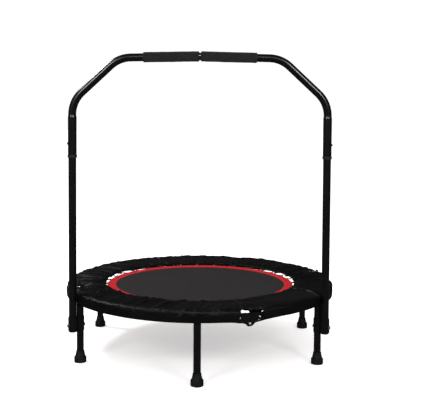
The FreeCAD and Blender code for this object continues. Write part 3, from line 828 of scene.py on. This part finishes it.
def cover_skins(angles, rows):
    """Outer and inner skin as arrays of points, one row of points per angle."""
    row_r, row_z = rows[:, 0], rows[:, 1]
    to_rear = np.sin(np.radians(angles))
    share = (row_r - PAD_INNER_R) / (PAD_OUTER_R - PAD_INNER_R)
    drop = np.clip((SKIRT_TOP_Z - row_z) / SKIRT_DEPTH, 0.0, 1.0) * (row_r > 0.5)
    share_along = np.clip(share, 0.0, 1.0) + 0.35 * drop
    folds = pleats(angles, share_along) + seams(angles, share_along)
    slow = np.stack([noise_round(angles, 4.0, 0.5 + 1.5 * s) for s in share_along], axis=1)
    folds = (folds + FILLING_WAVE * slow) * rows[None, :, 3]
    calm = 1 - 0.55 * smooth_step((share - 0.8) / 0.15) * (row_z > 0.25)
    folds = folds * (1 - smooth_step(to_rear * 1.4 - 0.4)[:, None] * (1 - calm)[None, :])
    down = smooth_step((row_r - 0.505) / 0.012) * smooth_step((0.2562 - row_z) / 0.008)
    radius = row_r[None, :] + folds * down[None, :] * 0.8
    height = row_z[None, :] + folds * (1 - down[None, :])

    # inner edge and far rim
    inner_side = 1 - smooth_step((row_r - PAD_INNER_R) / 0.03)
    edge_wave = EDGE_SLOW_WAVE * noise_round(angles, 6.5, 2.0)
    edge_wave = edge_wave + EDGE_FAST_WAVE * noise_round(angles, 25.0, 7.0) - EDGE_SHIFT
    drawn_in = bump_at(turned_from(angles, -128.0), 15.0) + bump_at(turned_from(angles, -46.0), 15.0)
    edge_wave -= EDGE_DRAWN_IN * drawn_in
    radius = radius + edge_wave[:, None] * inner_side[None, :]
    rim = smooth_step((row_r - 0.45) / 0.05) * (1 - drop)
    height = height + FAR_RIM_LIFT * smooth_step(to_rear * 1.2 - 0.1)[:, None] * rim[None, :]

    # skirt's lower edge
    hem = -HEM_LOW * bump_at(turned_from(angles, -95.0), 38.0)
    hem = hem + HEM_HIGH * bump_at(turned_from(angles, -46.0), 14.0)
    sag = -HEM_SAG * bump_at(turned_from(angles, math.degrees(FOLD_ANGLE) - 90.0), 5.5)
    height = height + (hem + sag)[:, None] * drop[None, :] ** 2

    # round the hinges
    for name in ("right", "left"):
        near = bump_at(turned_from(angles, math.degrees(FOLD_ANGLE) + HINGES[name]), 8.0)
        radius = radius + SIDE_BULGE * near[:, None] * down[None, :]
    lip = FRONT_LIP * bump_at(turned_from(angles, -88.0), 78.0)
    height = height + lip[:, None] * (inner_side * (row_z > 0.2500))[None, :]
    from_pin = along_ring(angles, "front")
    beside = smooth_step((0.065 - np.abs(from_pin)) / 0.015)
    rolled = beside * (ROLLED_EDGE[0] + ROLLED_EDGE[1] * smooth_step((from_pin - 0.006) / 0.008))
    radius = radius + FRONT_BULGE * (bump_at(from_pin + 0.041, 0.010)[:, None] * down[None, :])
    for name in ("right", "left"):
        puff = SIDE_PUFF * smooth_step((0.065 - np.abs(along_ring(angles, name))) / 0.015)
        height = height + puff[:, None] * (rim * smooth_step((row_r - 0.44) / 0.03))[None, :]

    at_cut = bump_at(row_r - FRONT_SLOT_START_R, 0.012) * (1 - down)
    thick = rows[None, :, 2] + rolled[:, None] * at_cut[None, :]
    inner_r = radius - thick * down[None, :]
    inner_z = height - thick * (1 - down)[None, :]
    inner_z = np.maximum(inner_z, np.where(row_r < 0.48, UNDER_Z, 0.0)[None, :])
    skins = []
    for r, z in ((radius, height), (inner_r, inner_z)):
        turn = np.radians(angles)[:, None]
        skins.append(np.stack([r * np.cos(turn), r * np.sin(turn), z], axis=2))
    return skins


def flat_middle(name):
    low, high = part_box(name)
    return Vector(((low.x + high.x) / 2, (low.y + high.y) / 2, 0))


POST_R = (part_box("post_left")[1].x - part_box("post_left")[0].x) / 2
LEFT_POST = flat_middle("post_left")
RIGHT_POST = flat_middle("post_right")


HEM = 0.001                             # left whole along the skirt's lower edge
SKIRT_START_R = 0.512
FRONT_SLOT = (-0.033, 0.047)            # along the ring, from the hinge pin
REAR_SLOT = 0.044                       # half length along the ring
SIDE_SLOT = 0.021
SIDE_SLOT_START_R = 0.4775
SIDE_SLOT_LOW_Z = 0.2445
POST_ROOM = 0.0035


def is_open(angle, radius, height):
    """True where the cover leaves room for a hinge or a handlebar post."""
    for name in HINGES:
        off = along_ring(angle, name)
        if name == "rear":
            if abs(off) < REAR_SLOT and radius > SKIRT_START_R and SKIRT_BOTTOM + HEM < height < 0.250:
                return True
        elif name == "front":
            start = FRONT_SLOT_START_R + 0.0015 * math.sin(off * 160.0) + (0.0025 if off > 0.006 else 0.0)
            inside = FRONT_SLOT[0] < off < FRONT_SLOT[1]
            if inside and radius > start and height > SKIRT_BOTTOM + HEM:
                return True
        elif abs(off) < SIDE_SLOT and radius > SIDE_SLOT_START_R and height > SIDE_SLOT_LOW_Z:
            return True
    point = polar(radius, math.radians(angle), 0)
    if min((point - LEFT_POST).length, (point - RIGHT_POST).length) < POST_R + POST_ROOM:
        return True
    return in_sweep_room(point)


SWEEP_START = 0.058                     # behind the fold line
SWEEP_MARGINS = (0.0015, 0.0065)        # at the left post, and at the right post's mirror image


def in_sweep_room(point):
    """Room that the rear half leaves, so that it can swing up past the two posts."""
    back = point.dot(REARWARD)
    if back > SWEEP_START and point.dot(FOLD_AXIS) < LEFT_POST.dot(FOLD_AXIS) + POST_R + SWEEP_MARGINS[0]:
        return True
    mirrored = FOLD_AXIS * RIGHT_POST.dot(FOLD_AXIS) - REARWARD * RIGHT_POST.dot(REARWARD)
    return back > 0 and (point - mirrored).length < POST_R + SWEEP_MARGINS[1]


SWELL_CAP = 0.004                       # the most that a point may move
SWELL_FRAMES = 14


def swell(made, free, cap, frames):
    """Fills the cover by a cloth simulation: the skin grows a little, so it buckles into creases."""
    start = np.array([v.co for v in made.data.vertices])
    group = made.vertex_groups.new(name="held")
    for n, value in enumerate(free):
        group.add([n], 1.0 - value, "REPLACE")
    cloth = made.modifiers.new("cloth", "CLOTH")
    settings = cloth.settings
    settings.quality = 5
    settings.mass = 0.25
    settings.tension_stiffness = 18
    settings.compression_stiffness = 18
    settings.shear_stiffness = 8
    settings.bending_stiffness = 0.35
    settings.vertex_group_mass = "held"
    settings.pin_stiffness = 1.0
    settings.shrink_min = -0.035
    settings.use_pressure = True
    settings.uniform_pressure_force = 4.0
    settings.effector_weights.gravity = 0.0
    cloth.collision_settings.use_collision = False
    cloth.collision_settings.use_self_collision = False
    cloth.point_cache.frame_start = 1
    cloth.point_cache.frame_end = frames
    scene = bpy.context.scene
    for step in range(1, frames + 1):
        scene.frame_set(step)
    shown = made.evaluated_get(bpy.context.evaluated_depsgraph_get())
    end = np.array([v.co for v in shown.data.vertices])
    made.modifiers.remove(cloth)
    made.vertex_groups.remove(group)
    scene.frame_set(1)
    move = end - start
    far = np.linalg.norm(move, axis=1)
    limit = cap * np.tanh(far / cap) / np.maximum(far, 1e-9)
    made.data.vertices.foreach_set("co", (start + move * limit[:, None] * np.array(free)[:, None]).ravel())
    made.data.update()


def pad_cover():
    """The padded cover: a closed skin with a gathered top and a skirt, open at hinges and posts."""
    steps = COVER_STEPS
    rows = fine_profile(steps)
    angles = math.degrees(FOLD_ANGLE) + 360.0 * np.arange(COVER_SPOKES) / COVER_SPOKES
    angles = turned_from(angles, 0.0)
    outer, inner = cover_skins(angles, rows)
    half = COVER_SPOKES * steps
    verts = np.concatenate([outer.reshape(-1, 3), inner.reshape(-1, 3)])
    kept = {}
    for k in range(COVER_SPOKES):
        middle = angles[k] + 180.0 / COVER_SPOKES
        for n in range(steps - 1):
            radius = (rows[n, 0] + rows[n + 1, 0]) / 2
            height = (rows[n, 1] + rows[n + 1, 1]) / 2
            kept[k, n] = not is_open(middle, radius, height)

    def corner(k, n):
        return (k % COVER_SPOKES) * steps + n

    faces = []
    for (k, n), keep in kept.items():
        if not keep:
            continue
        quad = (corner(k, n), corner(k, n + 1), corner(k + 1, n + 1), corner(k + 1, n))
        faces += [quad, tuple(v + half for v in reversed(quad))]
        edges = (
            ((k, n), (k, n + 1), ((k - 1) % COVER_SPOKES, n)), ((k, n + 1), (k + 1, n + 1), (k, n + 1)),
            ((k + 1, n + 1), (k + 1, n), ((k + 1) % COVER_SPOKES, n)), ((k + 1, n), (k, n), (k, n - 1)),
        )
        for first, second, neighbour in edges:
            if not kept.get(neighbour, False):
                a, b = corner(*first), corner(*second)
                faces.append((b, a, a + half, b + half))
    used = sorted({v for face in faces for v in face})
    renumber = {v: i for i, v in enumerate(used)}
    faces = [tuple(renumber[v] for v in face) for face in faces]
    at_border = set()
    for face in faces:
        if any(used[v] >= half for v in face) and any(used[v] < half for v in face):
            at_border.update(face)
    uvs, free = [], []
    for i, v in enumerate(used):
        k, n = divmod(v % half, steps)
        around = 2 * math.pi * k / COVER_SPOKES * MIDDLE_R
        uvs.append((around, n / steps * 0.19 + (0.3 if v >= half else 0.0)))
        loose = float(smooth_step((n - 2) / 4.0)) * float(smooth_step((steps - 3 - n) / 5.0))
        free.append(0.0 if v >= half or i in at_border else loose)
    made = piece("pad_cover", [Vector(verts[v]) for v in used], faces, COVER, uvs=uvs)
    closed_outward(made)
    swell(made, free, SWELL_CAP, SWELL_FRAMES)
    share = (rows[:, 0] - PAD_INNER_R) / (PAD_OUTER_R - PAD_INNER_R)
    lines = creases(angles, share) * (smooth_step((rows[:, 0] - 0.3715) / 0.004) * (rows[:, 1] > 0.2525))
    for i, v in enumerate(used):
        if v < half:
            made.data.vertices[i].co.z += float(lines[v // steps, v % steps])
    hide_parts("pad_front", "pad_rear")
    return across_fold(made)


# ---- foam grips ----

GRIP_CORNER = 0.0035
GRIP_CORNER_STEPS = 6
GRIP_STEPS = 60                         # along its straight part
GRIP_SPOKES = 48
GRIP_UNEVEN = 0.0005


def foam_grip(name):
    """A foam sleeve with rounded ends and a slightly uneven surface, on its CAD sleeve's line."""
    co = np.array([v.co for v in frame["nodes"][name].data.vertices])
    centre = co.mean(0)
    way = Vector(np.linalg.svd(co - centre)[2][0])
    way = way if way.x > 0 else -way
    spans = (co - centre) @ np.array(way)
    middle = Vector(centre) + way * float((spans.max() + spans.min()) / 2)
    length = float(spans.max() - spans.min())
    off = (co - np.array(middle)) - np.outer((co - np.array(middle)) @ np.array(way), np.array(way))
    outer = float(np.linalg.norm(off, axis=1).max())
    bore = float(np.linalg.norm(off, axis=1).min())
    side = way.cross(Vector((0, 0, 1))).normalized()
    up = side.cross(way)
    outline = [(-length / 2, bore)]
    for n in range(GRIP_CORNER_STEPS + 1):
        turn = math.pi / 2 * n / GRIP_CORNER_STEPS
        outline.append((-length / 2 + GRIP_CORNER * (1 - math.cos(turn)),
                        outer - GRIP_CORNER * (1 - math.sin(turn))))
    straight = length - 2 * GRIP_CORNER
    for n in range(1, GRIP_STEPS):
        outline.append((-length / 2 + GRIP_CORNER + straight * n / GRIP_STEPS, outer))
    outline += [(-x, r) for x, r in reversed(outline[1:GRIP_CORNER_STEPS + 2])]
    outline.append((length / 2, bore))
    spokes = GRIP_SPOKES
    verts, faces = [], []
    for x, r in outline:
        for k in range(spokes):
            turn = 2 * math.pi * k / spokes
            way_out = side * math.cos(turn) + up * math.sin(turn)
            point = middle + way * x + way_out * r
            if r > bore + 0.001:
                point += way_out * (GRIP_UNEVEN * noise.noise(point * 60.0) - 0.0003)
            verts.append(point)
    rows = len(outline)
    for n in range(rows):
        after = (n + 1) % rows
        for k in range(spokes):
            faces.append((n * spokes + k, n * spokes + (k + 1) % spokes,
                          after * spokes + (k + 1) % spokes, after * spokes + k))
    made = piece("foam_" + name, verts, faces, FOAM, "handlebar")
    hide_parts(name)
    return made


# ---- build the soft pieces ----

mat = mat_sheet()
edge = mat_edge()
stitches = edge_stitches()
tabs = rings_tabs_and_springs()
pad_cover()
for grip_name in ("grip_left", "grip_right"):
    foam_grip(grip_name)

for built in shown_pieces():
    if "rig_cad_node" not in built:
        closed_outward(built)


# ---- studio ----

FLOOR_REACH = 60.0


def studio():
    """A wide pale floor under an evenly white sky."""
    reach = FLOOR_REACH
    verts = [(-reach, -reach, 0.0), (reach, -reach, 0.0), (reach, reach, 0.0), (-reach, reach, 0.0)]
    mesh = bpy.data.meshes.new("studio_floor")
    mesh.from_pydata(verts, [], [(0, 1, 2, 3)])
    mesh.materials.append(floor_paint())
    made = bpy.data.objects.new("studio_floor", mesh)
    bpy.context.scene.collection.objects.link(made)
    made.visible_glossy = False


def soft_box(name, place, aim, size, power):
    data = bpy.data.lights.new(name, "AREA")
    data.shape = "RECTANGLE"
    data.size, data.size_y = size
    data.energy = power
    lamp = bpy.data.objects.new(name, data)
    bpy.context.scene.collection.objects.link(lamp)
    lamp.location = place
    lamp.rotation_mode = "QUATERNION"
    lamp.rotation_quaternion = (Vector(aim) - Vector(place)).to_track_quat("-Z", "Y")


SKY = 1.05
SKY_IN_GLOSS = 0.06
# Each has a name, a place, the point it faces, its size in metres and its power in watts.
SOFT_BOXES = (
    ("key_light", (-2.6, 1.2, 3.4), (0, 0, 0.5), (0.6, 0.6), 85),
    ("bar_light", (0.0, -4.6, 3.1), (0, 0, 0.9), (1.2, 0.5), 22),
    ("front_left_light", (-2.6, -4.6, 3.0), (-0.35, -0.5, 0.95), (1.3, 1.0), 90),
    ("front_right_light", (2.6, -4.6, 3.0), (0.35, -0.5, 0.95), (1.3, 1.0), 90),
)


def lights():
    """An evenly white sky, dim where it is mirrored, as between the soft boxes of a studio."""
    world = bpy.data.worlds.new("studio_world")
    bpy.context.scene.world = world
    world.use_nodes = True
    tree = world.node_tree
    sky = tree.nodes["Background"]
    sky.inputs["Color"].default_value = (1.0, 1.0, 1.0, 1.0)
    strength = tree.nodes.new("ShaderNodeMapRange")
    strength.inputs["To Min"].default_value = SKY
    strength.inputs["To Max"].default_value = SKY_IN_GLOSS
    tree.links.new(tree.nodes.new("ShaderNodeLightPath").outputs["Is Glossy Ray"], strength.inputs["Value"])
    tree.links.new(strength.outputs["Result"], sky.inputs["Strength"])
    for name, place, aim, size, power in SOFT_BOXES:
        soft_box(name, place, aim, size, power)


def camera():
    """Stands in front, a little under the bar's height, and looks slightly down and to the left."""
    distance, height = 3.077, 0.885
    round_z, pan, pitch, roll = (math.radians(a) for a in (1.04, 0.736, 2.935, 0.359))
    turn = Matrix.Rotation(round_z, 3, "Z")
    flat = turn @ Vector((math.sin(pan), math.cos(pan), 0))
    level_right = turn @ Vector((math.cos(pan), -math.sin(pan), 0))
    up = flat * math.sin(pitch) + Vector((0, 0, 1)) * math.cos(pitch)
    forward = flat * math.cos(pitch) - Vector((0, 0, 1)) * math.sin(pitch)
    right = level_right * math.cos(roll) + up * math.sin(roll)
    true_up = up * math.cos(roll) - level_right * math.sin(roll)
    data = bpy.data.cameras.new("camera")
    data.sensor_width = 36.0
    data.lens = 67.0
    data.shift_y = -0.1
    made = bpy.data.objects.new("camera", data)
    bpy.context.scene.collection.objects.link(made)
    basis = Matrix((right, true_up, -forward)).transposed()
    place = turn @ Vector((0, -distance, 0)) + Vector((0, 0, height))
    made.matrix_world = Matrix.Translation(place) @ basis.to_4x4()
    bpy.context.scene.camera = made


studio()
lights()
camera()
bpy.context.scene.view_settings.view_transform = "Standard"
